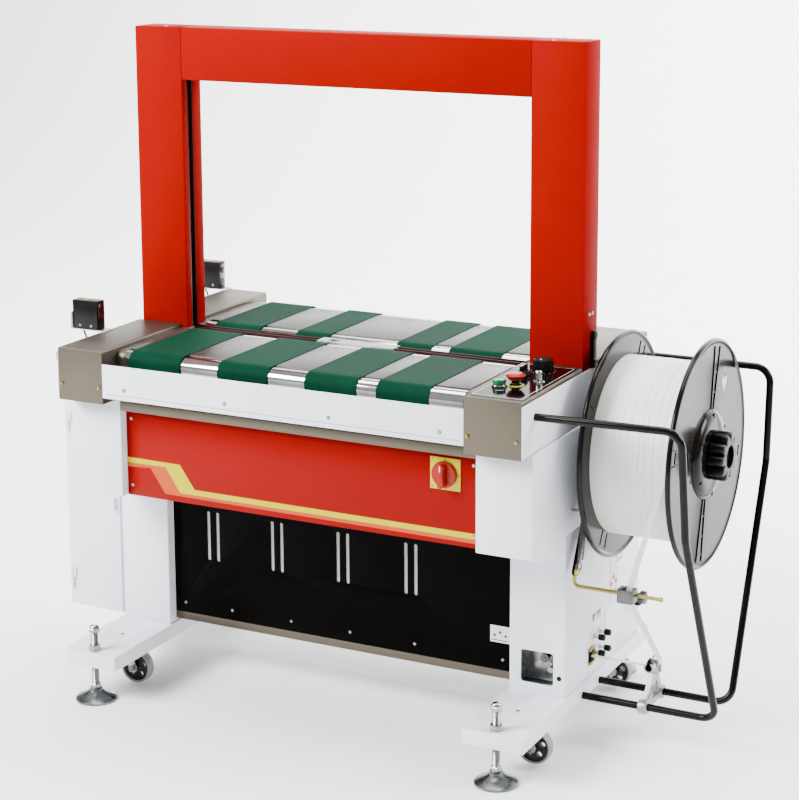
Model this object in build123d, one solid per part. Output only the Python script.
from build123d import *
import math
import os

# An arch strapping machine with a belt-driven table. Millimetres, +Z up.
# While modelling, X = 0 is the arch centre, Y = 0 is the strap plane and Z = 0 is the floor.
# At export everything moves so that the origin is the bottom centre of the whole machine.

# Arch
clear_width = 850.0        # between the posts
post_width = 121.0
beam_height = 117.0
arch_top = 1481.0
arch_front = -32.0         # front face, ahead of the strap plane
arch_back = 46.0
arch_sheet = 3.0
track_width = 22.0         # outside width of the strap track channel
track_depth = 18.0
track_wall = 3.0

# Table
table_half = 350.0         # table front and back from the strap plane
belt_top = 800.0
belt_thickness = 2.5
roller_radius = 22.5
roller_shaft = 7.5
shaft_seat = 5.0           # length of shaft held in each rail
belt_gap_half = 20.0       # half of the gap at the arch
belt_front = 306.0         # front and back ends of the belts
bed_thickness = 3.0
rail_thickness = 22.0
cover_top = belt_top + 6
cover_bottom = belt_top - 112
body_inner = clear_width / 2 + 3  # inner faces of the legs and shoulder housings
body_outer = body_inner + 125
left_cover = (-body_outer - 3, -body_inner - 13)    # outer and inner sides of the left corner covers
right_cover = (body_inner - 6, body_outer - 6)      # inner and outer sides of the right ones
cover_sheet = 2.5
guard_bottom = belt_top - 97
guard_top = belt_top - 22
guard_sheet = 2.5
side_sheet = 2.0
front_belts = [(-401, -271), (-177, -54), (35, 157), (203, 323)]
rear_belts = [(-389, -270), (-175, -90), (79, 165), (208, 334)]

# Body
leg_half_depth = 131.0
right_leg_back = 305.0
leg_bottom = 115.0
shoulder_half_depth = 305.0
shoulder_bottom = 470.0
body_sheet = 3.0
slope_drop = 48.0
panel_front = 283.0        # red panel face
panel_top = cover_bottom - 27
lower_panel_face = 105.0
lower_panel_bottom = 135.0
lower_panel_top = cover_bottom - 88
panel_sheet = 2.0
first_slots = -322.0
slot_pitch = 167.5
slot_width = 8.4
slot_length = 116.0
slot_bottom = 276.0
beam_section = 50.0
beam_centre = 175.0
window_width = 74.0
window_bottom = 137.0
window_height = 72.0

# Electrical cabinet
cabinet_outer = body_outer + 151
cabinet_front = 131.0
cabinet_back = 121.0
cabinet_bottom = 123.0
cabinet_top = cover_bottom - 48
door_thickness = 3.0
door_gap = 0.8
hinge_radius = 5.0
hinge_pin = 2.5
door_left = cabinet_outer - 16
hinge_x = cabinet_outer - 10
hinge_heights = (cabinet_bottom + 42, cabinet_top - 95)
lock_z = 387.0

# Feet and casters
foot_inner = body_inner - 4
foot_outer = body_outer + 6
foot_half_length = 361.0
foot_bottom = 82.0
foot_sheet = 4.0
stud_radius = 8.0
pad_radius = 46.0
stud_top = 175.0
stud_from_end = 21.0
lock_nut_height = 13.0
caster_from_end = 131.0
caster_trail = 38.0
wheel_radius = 37.5
wheel_width = 24.0
wheel_centre = 46.0       # clear of the floor while the machine stands on its feet
axle_radius = 5.0
kingpin_radius = 6.0

# Reel
reel_y = 62.0
reel_z = 627.0
flange_radius = 243.0
flange_thickness = 6.0
reel_inside = body_outer + 49     # inner face of the inner flange's wall
coil_width = 182.0
core_radius = 100.0
coil_radius = 190.0
spindle_radius = 15.0
hub_radius = 24.0
star_knob_radius = 52.0

# Dancer arm, guide and guard tubes
pivot_y = -20.0
pivot_z = 585.0
rod_radius = 4.0
dancer_rod_y = -120.0
dancer_rod_z = 363.0
dancer_rod_end = body_outer + 205
pivot_radius = 6.0
guard_tube_radius = 8.0
guard_plane = body_outer + coil_width + 120
lower_tube_z = 90.0
lower_front_y = -40.0
lower_rear_y = 56.0
guide_x = body_outer + 137
guide_y = 17.0
guide_z = 165.0
guide_roller_radius = 10.0
guide_pin = 3.0
ear_inner = 8.5
strap_cord = 1.2           # radius of the round cord that stands for the strap
arm_x0 = body_outer + 13
arm_x1 = arm_x0 + 6
elbow_z = 395.0
spring_y = -100.0
spring_z = 520.0

# Sealing head, under the strap plane
anvil_half = 95.0
anvil_depth = 18.0
anvil_bottom = belt_top - 65
head_plate_y = 62.0
cam_z = belt_top - 130
cam_shaft_radius = 10.0
gripper_x = -60.0
heater_x = 62.0
heater_pivot_z = belt_top - 160

# Strap inlet and pre-feed rollers behind the window of the right leg
prefeed_radius = 10.0
prefeed_x = body_inner + 69
prefeed_gap = 1.0
prefeed_z = 186.0
prefeed_plate_y = -88.0
prefeed_shaft = 4.0

# Main switch
switch_x = body_inner - 77
switch_z = 620.0
switch_size = 68.0
switch_radius = 27.5

# Control positions on the right front cover: x, y from the arch centre and strap plane
controls = {
    "start_button": (body_inner + 28, -254),
    "stop_button": (body_inner + 54, -232),
    "mode_selector": (body_inner + 36, -150),
    "reset_key": (body_inner + 84, -184),
    "tension_dial": (body_inner + 56, -96),
}
control_bore = {
    "start_button": 11.0,
    "stop_button": 9.0,
    "mode_selector": 9.0,
    "reset_key": 7.0,
    "tension_dial": 9.0,
}
overlay_thickness = 1.0

# Photo sensors
sensor_height = 66.0
sensor_x = left_cover[0] - 17
sensor_front = -192.0
sensor_rear = 323.0

# Screw rows
guard_screw_x = (left_cover[1] + 56, -132.0, 117.0, right_cover[0] - 53)
guard_screw_z = belt_top - 74
cover_screw_z = belt_top - 75
panel_screw_x = (-body_inner + 28, -275.0, -120.0, 30.0, 190.0, body_inner - 28)
panel_screw_z = 165.0
leg_screw_z = 157.0
post_screw_z = belt_top + 113
head_radius = 4.0
head_height = 2.4

# Named clearances
running = 0.05             # radial, shaft in a plain bore
loose = 0.3                # between curved faces of different bodies
sliding = 0.25             # around a guided block

hinge_y = cabinet_front + 6.0
post_inner = clear_width / 2
post_outer = post_inner + post_width
leg_top = shoulder_bottom
foot_top = leg_bottom
foot_centre = (foot_inner + foot_outer) / 2
foot_web = foot_top - foot_sheet
roller_z = belt_top - belt_thickness - roller_radius
left_rail = (left_cover[1], left_cover[1] + rail_thickness)       # beside the covers, X low to high
right_rail = (right_cover[0] - rail_thickness, right_cover[0])
belt_radius = roller_radius + loose + belt_thickness
nose_y = belt_front - belt_radius
inner_y = belt_gap_half + belt_radius
coil_inside = reel_inside
coil_outside = coil_inside + coil_width


def block(x0, x1, y0, y1, z0, z1):
    return Pos((x0 + x1) / 2, (y0 + y1) / 2, (z0 + z1) / 2) * Box(abs(x1 - x0), abs(y1 - y0), abs(z1 - z0))


def rod_x(radius, x0, x1, y, z):
    return Pos((x0 + x1) / 2, y, z) * Rot(0, 90, 0) * Cylinder(radius, abs(x1 - x0))


def rod_y(radius, x, y0, y1, z):
    return Pos(x, (y0 + y1) / 2, z) * Rot(90, 0, 0) * Cylinder(radius, abs(y1 - y0))


def rod_z_axis(radius, x, y, z0, z1):
    return Pos(x, y, (z0 + z1) / 2) * Cylinder(radius, abs(z1 - z0))


def rod_between(radius, start, end):
    line = Edge.make_line(Vector(*start), Vector(*end))
    return sweep(Plane(origin=line @ 0, z_dir=line % 0) * Circle(radius), path=line)


def bent_tube(radius, points, bend):
    path = FilletPolyline(*points, radius=bend)
    return sweep(Plane(origin=path @ 0, z_dir=path % 0) * Circle(radius), path=path)


def plate_yz(points, x0, x1):
    outline = Polyline(*[(y, z) for y, z in points], close=True)
    face = Plane(origin=(x0, 0, 0), x_dir=(0, 1, 0), z_dir=(1, 0, 0)) * make_face(outline)
    return extrude(face, x1 - x0)


def plate_xz(points, y0, y1):
    outline = Polyline(*[(x, z) for x, z in points], close=True)
    face = Plane(origin=(0, y1, 0), x_dir=(1, 0, 0), z_dir=(0, -1, 0)) * make_face(outline)
    return extrude(face, y1 - y0)


def mirror_x(shape):
    return mirror(shape, about=Plane.YZ)


def mirror_y(shape):
    return mirror(shape, about=Plane.XZ)


def group(*solids):
    flat = []
    for shape in solids:
        flat.extend(shape.solids())
    return Compound(children=flat)


def foot_channels():
    channel = block(foot_inner, foot_outer, -foot_half_length, foot_half_length, foot_bottom, foot_top)
    channel -= block(foot_inner + foot_sheet, foot_outer - foot_sheet,
                     -foot_half_length + foot_sheet, foot_half_length - foot_sheet, foot_bottom, foot_web)
    for side in (-1, 1):
        stud_y = side * (foot_half_length - stud_from_end)
        caster_y = side * (foot_half_length - caster_from_end)
        channel -= rod_z_axis(stud_radius + loose, foot_centre, stud_y, foot_web, foot_top)
        channel -= rod_z_axis(kingpin_radius + running, foot_centre, caster_y, foot_web, foot_top)
    return group(channel, mirror_x(channel))


def levelling_foot(side_x, side_y):
    x = side_x * foot_centre
    y = side_y * (foot_half_length - stud_from_end)
    pad = rod_z_axis(pad_radius, x, y, 0, 5)
    pad += Pos(x, y, 5 + 8.5) * Cone(pad_radius - 2, 13, 17)
    stud = rod_z_axis(stud_radius, x, y, 5, stud_top - 12)
    nut = Pos(x, y, stud_top - 24) * extrude(RegularPolygon(12, 6, major_radius=False), 14)
    cap = rod_z_axis(10.5, x, y, stud_top - 10, stud_top)
    return pad + stud + nut + cap


def caster_fork(side_x, side_y):
    x = side_x * foot_centre
    y = side_y * (foot_half_length - caster_from_end)
    top = foot_web - 0.2
    wheel_x = x + caster_trail
    fork = rod_z_axis(28, x, y, top - 4, top)
    fork += rod_z_axis(kingpin_radius, x, y, top - 4, foot_top - 1)
    fork += rod_z_axis(20, x, y, top - 14, top - 4)
    fork += block(x - 18, x + 24, y - 17, y + 17, top - 18, top - 14)
    for side in (-1, 1):
        inner = y + side * (wheel_width / 2 + 2)
        outer = y + side * (wheel_width / 2 + 5)
        leg = [(x - 18, top - 14), (x + 24, top - 14), (wheel_x + 9, wheel_centre),
               (wheel_x + 5, wheel_centre - 9), (wheel_x - 6, wheel_centre - 9)]
        fork += plate_xz(leg, min(inner, outer), max(inner, outer))
    fork += rod_y(axle_radius, wheel_x, y - wheel_width / 2 - 8, y + wheel_width / 2 + 8, wheel_centre)
    return fork


def caster_wheel(side_x, side_y):
    x = side_x * foot_centre + caster_trail
    y = side_y * (foot_half_length - caster_from_end)
    half = wheel_width / 2
    wheel = rod_y(wheel_radius, x, y - half, y + half, wheel_centre)
    wheel = fillet(wheel.edges().filter_by(GeomType.CIRCLE), 3)
    wheel -= rod_y(wheel_radius - 8, x, y - half, y - half + 6, wheel_centre)
    wheel -= rod_y(wheel_radius - 8, x, y + half - 6, y + half, wheel_centre)
    wheel += rod_y(11, x, y - half, y + half, wheel_centre)
    for i in range(5):
        angle = math.radians(90 + 72 * i)
        wheel -= rod_y(6.5, x + 20 * math.cos(angle), y - half, y + half, wheel_centre + 20 * math.sin(angle))
    wheel -= rod_y(axle_radius + running, x, y - half, y + half, wheel_centre)
    return wheel


def left_leg():
    leg = block(-body_outer, -body_inner, -leg_half_depth, leg_half_depth, leg_bottom, leg_top)
    return leg - block(-body_outer + body_sheet, -body_inner - body_sheet, -leg_half_depth + body_sheet,
                       leg_half_depth - body_sheet, leg_bottom, leg_top)


def right_leg():
    leg = block(body_inner, body_outer, -leg_half_depth, right_leg_back, leg_bottom, leg_top)
    leg -= block(body_inner + body_sheet, body_outer - body_sheet, -leg_half_depth + body_sheet,
                 right_leg_back - body_sheet, leg_bottom, leg_top)
    centre = (body_inner + body_outer) / 2
    window = block(centre - window_width / 2, centre + window_width / 2, -leg_half_depth,
                   -leg_half_depth + body_sheet, window_bottom, window_bottom + window_height)
    window = fillet(window.edges().filter_by(Axis.Y), 6)
    leg -= window
    leg -= block(body_outer - body_sheet, body_outer, guide_y - 14, guide_y + 14, 146, 170)
    return leg


def shoulder(side_x):
    box = block(body_inner, body_outer, -shoulder_half_depth, shoulder_half_depth,
                shoulder_bottom, cover_bottom)
    box -= block(body_inner + body_sheet, body_outer - body_sheet, -shoulder_half_depth + body_sheet,
                 shoulder_half_depth - body_sheet, shoulder_bottom + body_sheet, cover_bottom - body_sheet)
    box -= block(body_inner + 12, body_outer - 12, -leg_half_depth + 12, leg_half_depth - 12,
                 shoulder_bottom, shoulder_bottom + body_sheet)
    if side_x < 0:
        return mirror_x(box)
    front = -shoulder_half_depth
    slope = [(front, shoulder_bottom), (-leg_half_depth, shoulder_bottom - slope_drop),
             (-leg_half_depth, shoulder_bottom)]
    apron = plate_yz(slope, body_inner, body_outer)
    low = [(front + 20, shoulder_bottom), (-leg_half_depth, shoulder_bottom - slope_drop + 4),
           (-leg_half_depth, shoulder_bottom)]
    return box + (apron - plate_yz(low, body_inner + body_sheet, body_outer - body_sheet))


def inner_frame():
    frame = []
    for side in (-1, 1):
        y = side * beam_centre
        beam = block(-body_inner, body_inner, y - beam_section / 2, y + beam_section / 2,
                     cover_bottom - beam_section, cover_bottom)
        beam -= block(-body_inner, body_inner, y - beam_section / 2 + 3, y + beam_section / 2 - 3,
                      cover_bottom - beam_section + 3, cover_bottom - 3)
        frame.append(beam)
    nose_end = nose_y + 16
    for x0, x1 in (left_rail, right_rail):
        rail = block(x0, x1, -nose_end, nose_end, cover_bottom, belt_top - 3)
        rail = fillet(rail.edges().filter_by(Axis.X).group_by(Axis.Z)[-1], 18)
        for y in (-nose_y, -inner_y, inner_y, nose_y):
            rail -= rod_x(roller_shaft + running, x0, x1, y, roller_z)
        rail -= block(x0, x1, -track_width / 2, track_width / 2, belt_top - 24, belt_top - 3)
        rail -= block(-post_outer, -post_inner, arch_front, arch_back, cover_bottom, belt_top)
        frame.append(rail)
    floor_top = lower_panel_bottom + 6
    frame.append(block(-body_inner, body_inner, -lower_panel_face + 2, lower_panel_face - 2,
                       lower_panel_bottom + 3, floor_top))
    for side in (-1, 1):
        edge = side * lower_panel_face
        frame.append(block(-body_inner, body_inner, edge, edge - side * 2,
                           lower_panel_bottom - 12, floor_top))
    return group(*frame)


def lower_panel():
    panel = block(-body_inner, body_inner, -lower_panel_face, -lower_panel_face + panel_sheet,
                  lower_panel_bottom + 6, lower_panel_top)
    for number in range(4):
        for offset in (-12, 12):
            x = first_slots + number * slot_pitch + offset
            slot = block(x - slot_width / 2, x + slot_width / 2, -lower_panel_face,
                         -lower_panel_face + panel_sheet, slot_bottom, slot_bottom + slot_length)
            panel -= fillet(slot.edges().filter_by(Axis.Y), slot_width * 0.45)
    return panel


def red_panel():
    face = block(-body_inner, body_inner, -panel_front, -panel_front + panel_sheet,
                 shoulder_bottom, panel_top)
    return face + block(-body_inner, body_inner, -panel_front, -lower_panel_face - 0.5,
                        shoulder_bottom, shoulder_bottom + panel_sheet)


def body_panels():
    rear_lower = block(-body_inner, body_inner, lower_panel_face - panel_sheet, lower_panel_face,
                       lower_panel_bottom + 6, lower_panel_top)
    return group(red_panel(), lower_panel(), mirror_y(red_panel()), rear_lower)


def corner_cover(x0, x1, side_y):
    near = -arch_front + 4 if side_y < 0 else arch_back + 4
    cover = block(x0, x1, near, table_half, cover_bottom, cover_top)
    cover = fillet(cover.edges().filter_by(Axis.Y).group_by(Axis.Z)[-1], 5)
    cover -= block(x0 + cover_sheet, x1 - cover_sheet, near, table_half - cover_sheet,
                   cover_bottom, cover_top - cover_sheet)
    return cover if side_y > 0 else mirror_y(cover)


def trim_strip():
    return block(-body_inner, body_inner, -shoulder_half_depth, -shoulder_half_depth + 2,
                 panel_top + 5, cover_bottom - 1)


def steel_covers():
    return group(corner_cover(*left_cover, -1), corner_cover(*left_cover, 1), corner_cover(*right_cover, 1),
                 trim_strip(), mirror_y(trim_strip()))


def table_guards():
    left, right = left_cover[1], right_cover[0]
    front = block(left, right, -table_half, -table_half + guard_sheet, guard_bottom, guard_top)
    front += block(left, right, -table_half, -table_half + 22, guard_bottom, guard_bottom + guard_sheet)
    sides = [block(left_cover[0] - side_sheet, left_cover[0], -table_half, table_half,
                   cover_bottom + 2, cover_top - 9),
             block(right_cover[1], right_cover[1] + side_sheet, -table_half, table_half,
                   cover_bottom + 2, cover_top - 9)]
    return group(front, mirror_y(front), *sides)


def arch_post(side_x):
    post = block(post_inner, post_outer, arch_front, arch_back, cover_bottom, arch_top)
    post -= block(post_inner + arch_sheet, post_outer - arch_sheet, arch_front + arch_sheet,
                  arch_back - arch_sheet, cover_bottom, arch_top - arch_sheet)
    post -= block(post_inner, post_inner + arch_sheet, -track_width / 2, track_width / 2,
                  cover_bottom, arch_top - beam_height)
    return post if side_x > 0 else mirror_x(post)


def arch_beam():
    underside = arch_top - beam_height
    beam = block(-post_inner, post_inner, arch_front, arch_back, underside, arch_top)
    beam -= block(-post_inner, post_inner, arch_front + arch_sheet, arch_back - arch_sheet,
                  underside + arch_sheet, arch_top - arch_sheet)
    return beam - block(-post_inner, post_inner, -track_width / 2, track_width / 2,
                        underside, underside + arch_sheet)


def strap_track():
    half = track_width / 2
    inner = half - track_wall
    low = belt_top - 24
    underside = arch_top - beam_height
    upright = block(post_inner, post_inner + track_depth, -half, half, low, underside)
    upright -= block(post_inner, post_inner + track_depth - track_wall, -inner, inner, low, underside)
    overhead = block(-post_inner, post_inner, -half, half, underside, underside + track_depth)
    overhead -= block(-post_inner, post_inner, -inner, inner, underside, underside + track_depth - track_wall)
    table = block(anvil_half, post_inner, -half, half, low, belt_top - 4)
    table -= block(anvil_half, post_inner, -inner, inner, low + track_wall, belt_top - 4)
    return group(upright, mirror_x(upright), overhead, table, mirror_x(table))


def belt_loop(x0, x1, y0, y1):
    centre = (y0 + y1) / 2
    flat = abs(y1 - y0) - 2 * belt_radius
    z = roller_z
    width = x1 - x0
    outer = Pos((x0 + x1) / 2, centre, z) * Box(width, flat, 2 * belt_radius)
    inner = Pos((x0 + x1) / 2, centre, z) * Box(width, flat, 2 * (belt_radius - belt_thickness))
    for side in (-1, 1):
        outer += rod_x(belt_radius, x0, x1, centre + side * flat / 2, z)
        inner += rod_x(belt_radius - belt_thickness, x0, x1, centre + side * flat / 2, z)
    return outer - inner


def conveyor_belts():
    loops = [belt_loop(x0, x1, -belt_front, -belt_gap_half) for x0, x1 in front_belts]
    loops += [belt_loop(x0, x1, belt_gap_half, belt_front) for x0, x1 in rear_belts]
    return group(*loops)


def table_plates():
    under = roller_z + belt_radius - belt_thickness
    near = inner_y + 14
    far = nose_y - 14
    plates = []
    for side, belts in ((-1, front_belts), (1, rear_belts)):
        plates.append(block(left_rail[1], right_rail[0], side * near, side * far,
                            under - bed_thickness, under))
        edges = [left_rail[1]] + [x for belt in belts for x in belt] + [right_rail[0]]
        for x0, x1 in zip(edges[0::2], edges[1::2]):
            plates.append(block(x0 + 1, x1 - 1, side * near, side * far, under, belt_top - 1))
    return group(*plates)


def table_roller(y):
    roller = rod_x(roller_radius, left_rail[1] + 1, right_rail[0] - 1, y, roller_z)
    return roller + rod_x(roller_shaft, left_rail[1] - shaft_seat, right_rail[0] + shaft_seat, y, roller_z)


def head_frame():
    beam_under = cover_bottom - beam_section
    base = block(-130, 130, -beam_centre - beam_section / 2, beam_centre + beam_section / 2,
                 beam_under - 12, beam_under)
    frame = base
    for side in (-1, 1):
        inner = side * (head_plate_y - 10)
        frame += block(-100, 100, side * head_plate_y, inner, beam_under, anvil_bottom)
    frame += block(-anvil_half, -anvil_half + 14, -head_plate_y, head_plate_y,
                   anvil_bottom - 35, anvil_bottom)
    frame += block(anvil_half - 14, anvil_half, -head_plate_y, head_plate_y,
                   anvil_bottom - 35, anvil_bottom)
    anvil = block(-anvil_half, anvil_half, -anvil_depth, anvil_depth, anvil_bottom, belt_top - 3)
    anvil -= block(gripper_x - 10 - sliding, gripper_x + 10 + sliding, -10 - sliding, 10 + sliding,
                   anvil_bottom, belt_top - 3)
    anvil -= block(-anvil_half, anvil_half, -8, 8, belt_top - 24 + track_wall, belt_top - 18)
    frame += anvil
    for side in (-1, 1):
        inner = side * (head_plate_y - 10)
        frame -= rod_y(cam_shaft_radius + running, 0, inner, side * head_plate_y, cam_z)
        frame -= rod_y(4 + running, heater_x, inner, side * head_plate_y, heater_pivot_z + 20)
    return frame


def head_cam_shaft():
    shaft = rod_y(cam_shaft_radius, 0, -head_plate_y - 14, head_plate_y + 14, cam_z)
    for y, lift in ((-32, 6), (-12, 9), (12, 7)):
        shaft += rod_y(20, lift * 0.6, y - 5, y + 5, cam_z + lift * 0.3)
    return shaft + rod_y(26, 0, head_plate_y + 4, head_plate_y + 14, cam_z)


def head_gripper():
    return block(gripper_x - 10, gripper_x + 10, -10, 10, anvil_bottom - 45, belt_top - 26)


def heater_arm():
    pivot = heater_pivot_z + 20
    arm = rod_y(4, heater_x, -head_plate_y - 3, head_plate_y + 3, pivot)
    arm += rod_y(9, heater_x, -8, 8, pivot)
    return arm + block(heater_x - 4, heater_x + 4, -6, 6, pivot, anvil_bottom - 7)


def prefeed_roller(x):
    roller = rod_y(prefeed_radius, x, prefeed_plate_y - 18, prefeed_plate_y - 4, prefeed_z)
    return roller + rod_y(prefeed_shaft, x, prefeed_plate_y - 20, prefeed_plate_y + 20, prefeed_z)


def inlet_fittings():
    second_x = prefeed_x + 2 * prefeed_radius + prefeed_gap
    inside = body_inner + body_sheet
    outside = body_outer - body_sheet
    plate = block(inside, outside, prefeed_plate_y, prefeed_plate_y + 6, 130, 260)
    for x in (prefeed_x, second_x):
        plate -= rod_y(prefeed_shaft + running, x, prefeed_plate_y, prefeed_plate_y + 6, prefeed_z)
    spring_tube = rod_y(7, prefeed_x + 15, prefeed_plate_y - 20, prefeed_plate_y, 162)
    inlet = block(body_outer, body_outer + 6, guide_y - 16, guide_y + 8, 172, 178)
    inlet += block(body_outer, body_outer + 6, guide_y - 16, guide_y + 8, 142, 148)
    inlet += block(body_outer, body_outer + 6, guide_y + 8, guide_y + 12, 142, 178)
    pieces = [plate, spring_tube, inlet]
    for y in (34, 68):
        for z in (161, 197):
            screw = rod_x(4, body_outer, body_outer + 12, y, z)
            pieces.append(screw + rod_x(7, body_outer + 12, body_outer + 26, y, z))
    plate_out = block(body_outer, body_outer + 3, 34, 62, 235, 243)
    for y in (33, 63):
        plate_out += rod_x(8, body_outer, body_outer + 3, y, 239)
    pieces.append(plate_out)
    wing = rod_x(12, body_outer, body_outer + 34, 262, 212)
    wing += block(body_outer + 22, body_outer + 32, 262 - 42, 262 + 16, 205, 219)
    pieces.append(wing)
    pieces.append(rod_x(3, body_outer, arm_x1 + 15, spring_y, spring_z))
    return group(*pieces)


def electrical_units():
    # Belt gear motor, head motor, pre-feed motor, transformer and contactors, each a closed stand-in body.
    beam_under = cover_bottom - beam_section
    belt_motor = block(150, 240, -beam_centre - 25, -beam_centre + 30, beam_under - 90, beam_under)
    belt_motor += rod_x(42, 240, 360, -beam_centre + 20, beam_under - 45)
    head_motor = rod_z_axis(48, 20, 0, beam_under - 12 - 140, beam_under - 12)
    prefeed_motor = rod_y(30, (body_inner + body_outer) / 2, prefeed_plate_y + 30, prefeed_plate_y + 130, 230)
    mount = block(body_inner + body_sheet, body_outer - body_sheet, prefeed_plate_y + 24,
                  prefeed_plate_y + 30, 150, 270)
    back = cabinet_back - 2
    inside = -cabinet_outer + 2
    plate = block(inside + 12, -body_outer - 12, back - 6, back, cabinet_bottom + 30, cabinet_top - 30)
    transformer = block(inside + 25, inside + 105, back - 86, back - 6,
                        cabinet_bottom + 50, cabinet_bottom + 130)
    units = [belt_motor, head_motor, prefeed_motor + mount, plate, transformer]
    for i in range(3):
        x = inside + 20 + 38 * i
        units.append(block(x, x + 34, back - 76, back - 6, cabinet_top - 220, cabinet_top - 140))
    units.append(block(inside + 20, inside + 130, back - 60, back - 6, cabinet_top - 110, cabinet_top - 60))
    return group(*units)


def electrical_cabinet():
    box = block(-cabinet_outer, -body_outer, -cabinet_front, cabinet_back, cabinet_bottom, cabinet_top)
    box -= block(-cabinet_outer + 2, -body_outer - 2, -cabinet_front + 2, cabinet_back - 2,
                 cabinet_bottom + 2, cabinet_top - 2)
    box -= block(-door_left + 8, -body_outer - 12, -cabinet_front, -cabinet_front + 2,
                 cabinet_bottom + 12, cabinet_top - 12)
    for z in hinge_heights:
        knuckle = rod_z_axis(hinge_radius, -hinge_x, -hinge_y, z, z + 25)
        knuckle += block(-hinge_x - 3, -hinge_x + 3, -hinge_y, -cabinet_front, z, z + 25)
        box += knuckle
        box += rod_z_axis(hinge_pin, -hinge_x, -hinge_y, z, z + 51)
    gland = rod_y(11, -cabinet_outer + 60, cabinet_back, cabinet_back + 22, cabinet_bottom + 40)
    return group(box, gland)


def cabinet_door():
    front = -cabinet_front - door_gap - door_thickness
    door = block(-door_left, -body_outer - 3, front, front + door_thickness,
                 cabinet_bottom + 3, cabinet_top - 3)
    for z in hinge_heights:
        knuckle = rod_z_axis(hinge_radius, -hinge_x, -hinge_y, z + 25.3, z + 50)
        knuckle += block(-hinge_x, -door_left + 4, -hinge_y - 2, front + door_thickness, z + 25.3, z + 50)
        knuckle -= rod_z_axis(hinge_pin + running, -hinge_x, -hinge_y, z + 25, z + 50)
        door += knuckle
    door += block(-body_outer - 18, -body_outer - 12, front - 12, front, lock_z - 15, lock_z + 15)
    return door


def reel_spindle():
    spindle = rod_x(48, body_outer, body_outer + 10, reel_y, reel_z)
    spindle += rod_x(30, body_outer + 10, reel_inside - flange_thickness - 6, reel_y, reel_z)
    return spindle + rod_x(spindle_radius, body_outer, coil_outside + 30, reel_y, reel_z)


def reel_flange(x0, x1):
    flange = rod_x(flange_radius - 4, x0, x1, reel_y, reel_z)
    rim = Pos((x0 + x1) / 2, reel_y, reel_z) * Rot(0, 90, 0) * Torus(flange_radius - 6, 6)
    flange += rim
    return flange


def reel_inner_flange():
    flange = reel_flange(reel_inside - flange_thickness, reel_inside)
    flange += rod_x(core_radius, reel_inside, coil_outside, reel_y, reel_z)
    flange -= rod_x(core_radius - 6, reel_inside + 8, coil_outside, reel_y, reel_z)
    flange += rod_x(hub_radius, reel_inside - flange_thickness - 4, coil_outside + 44, reel_y, reel_z)
    bore_start = reel_inside - flange_thickness - 4
    return flange - rod_x(spindle_radius + running, bore_start, coil_outside + 32, reel_y, reel_z)


def reel_outer_flange():
    flange = reel_flange(coil_outside, coil_outside + flange_thickness)
    flange += rod_x(94, coil_outside + flange_thickness, coil_outside + flange_thickness + 14, reel_y, reel_z)
    return flange - rod_x(hub_radius + 0.2, coil_outside, coil_outside + 30, reel_y, reel_z)


def strap_coil():
    coil = rod_x(coil_radius, coil_inside, coil_outside, reel_y, reel_z)
    return coil - rod_x(core_radius, coil_inside, coil_outside, reel_y, reel_z)


def reel_knob():
    start = coil_outside + flange_thickness + 14 + 0.3
    knob = rod_x(star_knob_radius - 9, start, start + 34, reel_y, reel_z)
    for i in range(10):
        angle = math.radians(36 * i)
        knob += rod_x(9, start, start + 34, reel_y + (star_knob_radius - 9) * math.cos(angle),
                      reel_z + (star_knob_radius - 9) * math.sin(angle))
    return knob - rod_x(hub_radius + running, start, coil_outside + 45, reel_y, reel_z)


def dancer_arm():
    direction = math.atan2(pivot_z - elbow_z, pivot_y - dancer_rod_y)
    side_y = 10 * math.sin(direction)
    side_z = 10 * math.cos(direction)
    arm = plate_yz([(pivot_y - side_y, pivot_z + side_z), (pivot_y + side_y, pivot_z - side_z),
                    (dancer_rod_y + side_y, elbow_z - side_z), (dancer_rod_y - side_y, elbow_z + side_z)],
                   arm_x0, arm_x1)
    arm += rod_x(14, arm_x0 - 4, arm_x1, pivot_y, pivot_z)
    arm -= rod_x(pivot_radius + running, arm_x0 - 4, arm_x1, pivot_y, pivot_z)
    arm += rod_x(10, arm_x0, arm_x1 + 6, dancer_rod_y, elbow_z)
    bend = (arm_x0 + arm_x1) / 2
    arm += bent_tube(rod_radius, [(bend, dancer_rod_y, elbow_z), (bend, dancer_rod_y, dancer_rod_z),
                                  (dancer_rod_end, dancer_rod_y, dancer_rod_z)], 10)
    guide = block(guide_x - 21, guide_x + 15, dancer_rod_y - 22, dancer_rod_y + 10,
                  dancer_rod_z - 14, dancer_rod_z + 14)
    guide -= block(guide_x - 12, guide_x + 11, dancer_rod_y - 18, dancer_rod_y - rod_radius,
                   dancer_rod_z - 14, dancer_rod_z + 14)
    return arm + guide


def dancer_spring():
    x = arm_x1 + 8
    return rod_between(6.5, (x, dancer_rod_y + 4, elbow_z + 20), (x, spring_y, spring_z - 3.5))


def guard_tubes():
    end = right_cover[1] + side_sheet
    start = end - 20
    front = [(start, -287, 763), (guard_plane, -296, 770), (guard_plane, -258, 541),
             (guard_plane, lower_front_y, lower_tube_z), (start, lower_front_y, lower_tube_z)]
    rear = [(start, 276, 770), (guard_plane, 276, 771), (guard_plane, 262, 569),
            (guard_plane, lower_rear_y, lower_tube_z), (start, lower_rear_y, lower_tube_z)]
    tubes = []
    for route in (front, rear):
        tube = bent_tube(guard_tube_radius, route, 34)
        tube -= block(start - 20, end, -table_half, table_half, 400, cover_top)
        tubes.append(tube - block(start - 20, foot_outer, -table_half, table_half, 0, 200))
    return group(*tubes)


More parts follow.
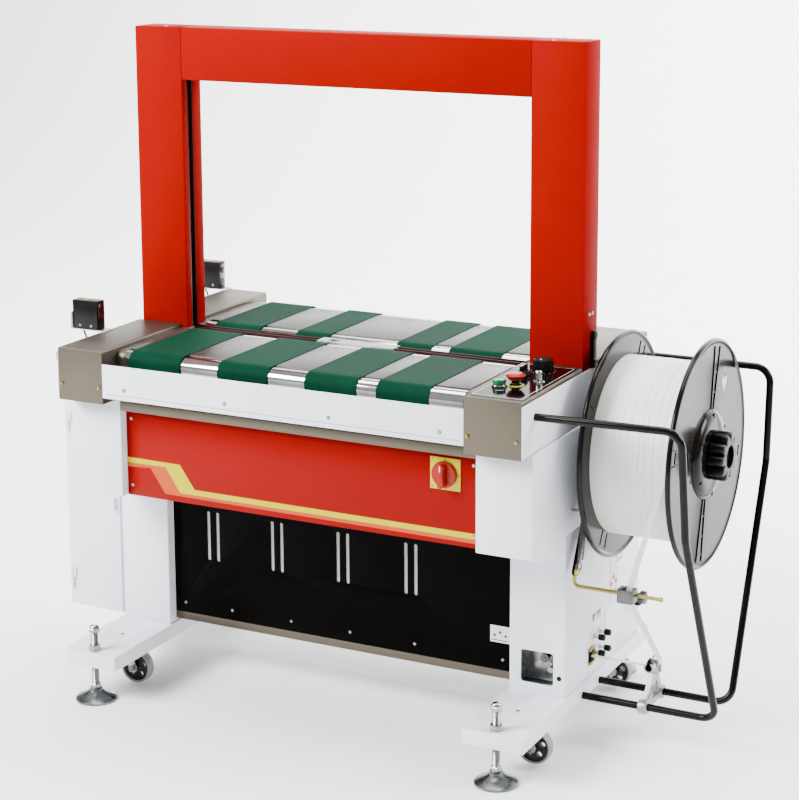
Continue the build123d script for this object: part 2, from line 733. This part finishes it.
def guide_bracket():
    x0 = guide_x
    x1 = guide_x + 14
    tubes = (lower_front_y, lower_rear_y)
    bracket = plate_yz([(lower_front_y - 4, 82), (lower_rear_y + 4, 82), (guide_y + 12, guide_z - 18),
                        (guide_y - 12, guide_z - 18)], x0, x1)
    bracket -= plate_yz([(lower_front_y + 24, 96), (lower_rear_y - 24, 96), (guide_y + 3, guide_z - 34),
                         (guide_y - 3, guide_z - 34)], x0, x1)
    for y in tubes:
        bracket += rod_x(14, x0, x1, y, lower_tube_z)
    for y in tubes:
        bracket -= rod_x(guard_tube_radius + running, x0, x1, y, lower_tube_z)
    for side in (-1, 1):
        bracket += block(x0, x1 + 6, guide_y + side * ear_inner, guide_y + side * 12,
                         guide_z - 20, guide_z + 15)
    bracket += rod_y(guide_pin, guide_x + 10, guide_y - 12, guide_y + 12, guide_z + 5)
    knob = rod_y(4, guide_x + 10, guide_y - 26, guide_y - 12, guide_z + 5)
    knob += rod_y(11, guide_x + 10, guide_y - 42, guide_y - 26, guide_z + 5)
    return group(bracket, knob)


def guide_roller():
    half = ear_inner - 0.5
    roller = rod_y(guide_roller_radius, guide_x + 10, guide_y - half, guide_y + half, guide_z + 5)
    return roller - rod_y(guide_pin + running, guide_x + 10, guide_y - half, guide_y + half, guide_z + 5)


def strap_run():
    # The pulled-off strap: coil to guide block, guide block to roller, roller to inlet.
    # It stops short of the guide block on both sides, which leaves the arm room to swing.
    off = 1.6
    guide_line_y = dancer_rod_y - rod_radius - off - 1
    coil_end = (coil_outside - 16, reel_y - coil_radius - off, reel_z)
    above_guide = Vector(guide_x - 1, guide_line_y, dancer_rod_z + 18)
    below_guide = Vector(guide_x - 1, guide_line_y, dancer_rod_z - 18)
    beside = Vector(guide_x + 10 + guide_roller_radius + off + 1, guide_y, guide_z + 5)
    under = (guide_x + 10, guide_y, guide_z + 5 - guide_roller_radius - off)
    inlet = (body_outer + 1, guide_y - 4, 159)
    clear_of_arm = below_guide + (beside - below_guide) * 0.2
    return group(rod_between(strap_cord, coil_end, above_guide),
                 rod_between(strap_cord, clear_of_arm, beside),
                 rod_between(strap_cord, under, inlet))


def switch_plate():
    half = switch_size / 2
    face = -panel_front
    return block(switch_x - half, switch_x + half, face - 3, face, switch_z - half, switch_z + half)


def switch_handle():
    face = -panel_front - 3 - loose
    handle = rod_y(switch_radius, switch_x, face - 10, face, switch_z)
    return handle + block(switch_x - 6, switch_x + 6, face - 26, face - 10, switch_z - 24, switch_z + 24)


def control_cover():
    cover = corner_cover(*right_cover, -1)
    cover += block(right_cover[0] + 6, right_cover[1] - 6, -table_half + 14, -50,
                   cover_top, cover_top + overlay_thickness)
    for name, (x, y) in controls.items():
        cover -= rod_z_axis(control_bore[name] + loose, x, y, cover_top - cover_sheet, cover_top + 1)
        collar = rod_z_axis(control_bore[name] + 4, x, y, cover_top + 1, cover_top + 4)
        cover += collar - rod_z_axis(control_bore[name] + loose, x, y, cover_top + 1, cover_top + 4)
    return cover


def push_button(name, cap_radius, cap_height, lift):
    x, y = controls[name]
    base = cover_top + 4 + lift
    button = rod_z_axis(control_bore[name], x, y, cover_top - 16, base)
    button += rod_z_axis(cap_radius, x, y, base, base + cap_height)
    return button


def start_button():
    return push_button("start_button", 10.5, 5, 0)


def stop_button():
    return push_button("stop_button", 19, 13, 9)


def mode_selector():
    x, y = controls["mode_selector"]
    grip = block(x - 4, x + 4, y - 17, y + 15, cover_top + 8, cover_top + 22)
    return push_button("mode_selector", 13, 8, 0.4) + grip


def reset_key():
    return push_button("reset_key", 6.8, 22, 0)


def tension_dial():
    return push_button("tension_dial", 21, 26, 0.4)


def photo_sensor(x, y):
    base = cover_top
    foot = block(x - 60, x + 30, y, y + 34, base, base + 2)
    upright = block(x - 60, x - 56, y, y + 34, base + 2, base + 40)
    box = block(x - 56, x + 10, y + 2, y + 32, base + 2, base + 2 + sensor_height)
    lens = rod_x(8, x + 10, x + 13, y + 17, base + 48)
    return [foot, upright, box + lens]


def photo_sensors():
    front = photo_sensor(sensor_x, sensor_front)
    rear = photo_sensor(sensor_x, sensor_rear)
    return group(*front, *rear)


def pan_head_y(x, y, z, outward):
    return rod_y(head_radius, x, y, y + outward * head_height, z)


def machine_screws():
    heads = []
    for x in guard_screw_x:
        heads.append(pan_head_y(x, -table_half, guard_screw_z, -1))
        heads.append(pan_head_y(x, table_half, guard_screw_z, 1))
    for side in (-1, 1):
        for y in (arch_front + 12, arch_back - 12):
            heads.append(rod_z_axis(head_radius, side * (post_inner + 45), y, arch_top,
                                    arch_top + head_height))
        for y in (-1, 16):
            heads.append(rod_x(head_radius, side * post_outer, side * (post_outer + head_height), y,
                               post_screw_z))
        for y in (-foot_half_length + stud_from_end, foot_half_length - stud_from_end):
            nut = extrude(RegularPolygon(12, 6, major_radius=False), lock_nut_height)
            nut -= Pos(0, 0, lock_nut_height / 2) * Cylinder(stud_radius + running, lock_nut_height)
            heads.append(Pos(side * foot_centre, y, foot_top) * nut)
    for x in (left_cover[0] + 8, left_cover[1] - 10, right_cover[0] + 8, right_cover[1] - 11):
        heads.append(pan_head_y(x, -table_half, cover_screw_z, -1))
        heads.append(pan_head_y(x, table_half, cover_screw_z, 1))
    for x in panel_screw_x:
        heads.append(pan_head_y(x, -lower_panel_face, panel_screw_z, -1))
        heads.append(pan_head_y(x, lower_panel_face, panel_screw_z, 1))
    heads.append(pan_head_y(body_outer - 12, -leg_half_depth, leg_screw_z, -1))
    for x in (-body_inner + 14, body_inner - 14):
        for z in (shoulder_bottom + 24, panel_top - 16):
            heads.append(pan_head_y(x, -panel_front, z, -1))
            heads.append(pan_head_y(x, panel_front, z, 1))
    heads.append(block(post_outer, post_outer + 6, 8, 24, cover_top - 8, cover_top + 64))
    return group(*heads)


builders = {
    "foot_channels": foot_channels,
    "left_leg": left_leg,
    "right_leg": right_leg,
    "inner_frame": inner_frame,
    "body_panels": body_panels,
    "shoulder_housings": lambda: group(shoulder(-1), shoulder(1)),
    "steel_covers": steel_covers,
    "control_cover": control_cover,
    "table_guards": table_guards,
    "arch_posts": lambda: group(arch_post(-1), arch_post(1)),
    "arch_beam": arch_beam,
    "strap_track": strap_track,
    "table_plates": table_plates,
    "conveyor_belts": conveyor_belts,
    "front_nose_roller": lambda: table_roller(-nose_y),
    "front_inner_roller": lambda: table_roller(-inner_y),
    "rear_inner_roller": lambda: table_roller(inner_y),
    "rear_nose_roller": lambda: table_roller(nose_y),
    "head_frame": head_frame,
    "head_cam_shaft": head_cam_shaft,
    "head_gripper": head_gripper,
    "heater_arm": heater_arm,
    "prefeed_drive_roller": lambda: prefeed_roller(prefeed_x),
    "prefeed_pinch_roller": lambda: prefeed_roller(prefeed_x + 2 * prefeed_radius + prefeed_gap),
    "inlet_fittings": inlet_fittings,
    "electrical_units": electrical_units,
    "electrical_cabinet": electrical_cabinet,
    "cabinet_door": cabinet_door,
    "reel_spindle": reel_spindle,
    "reel_inner_flange": reel_inner_flange,
    "reel_outer_flange": reel_outer_flange,
    "strap_coil": strap_coil,
    "reel_knob": reel_knob,
    "dancer_arm": dancer_arm,
    "dancer_spring": dancer_spring,
    "guard_tubes": guard_tubes,
    "guide_bracket": guide_bracket,
    "guide_roller": guide_roller,
    "strap_run": strap_run,
    "switch_plate": switch_plate,
    "switch_handle": switch_handle,
    "start_button": start_button,
    "stop_button": stop_button,
    "mode_selector": mode_selector,
    "reset_key": reset_key,
    "tension_dial": tension_dial,
    "photo_sensors": photo_sensors,
    "machine_screws": machine_screws,
}
corners = {"left_front": (-1, -1), "right_front": (1, -1), "left_rear": (-1, 1), "right_rear": (1, 1)}


def build_all():
    nodes = {name: make() for name, make in builders.items()}
    for place, (side_x, side_y) in corners.items():
        nodes[place + "_levelling_foot"] = levelling_foot(side_x, side_y)
        nodes[place + "_caster_fork"] = caster_fork(side_x, side_y)
        nodes[place + "_caster_wheel"] = caster_wheel(side_x, side_y)
    return nodes


def bottom_centre(nodes):
    boxes = [shape.bounding_box() for shape in nodes.values()]
    low = [min(b.min.X for b in boxes), min(b.min.Y for b in boxes), min(b.min.Z for b in boxes)]
    high = [max(b.max.X for b in boxes), max(b.max.Y for b in boxes)]
    return (low[0] + high[0]) / 2, (low[1] + high[1]) / 2, low[2]


def main():
    nodes = build_all()
    shift = bottom_centre(nodes)
    os.makedirs("parts", exist_ok=True)
    for name, shape in nodes.items():
        export_step(Pos(-shift[0], -shift[1], -shift[2]) * shape, f"parts/{name}.step")
    print("origin shift", [round(v, 4) for v in shift], "nodes", len(nodes))


if __name__ == "__main__":
    main()
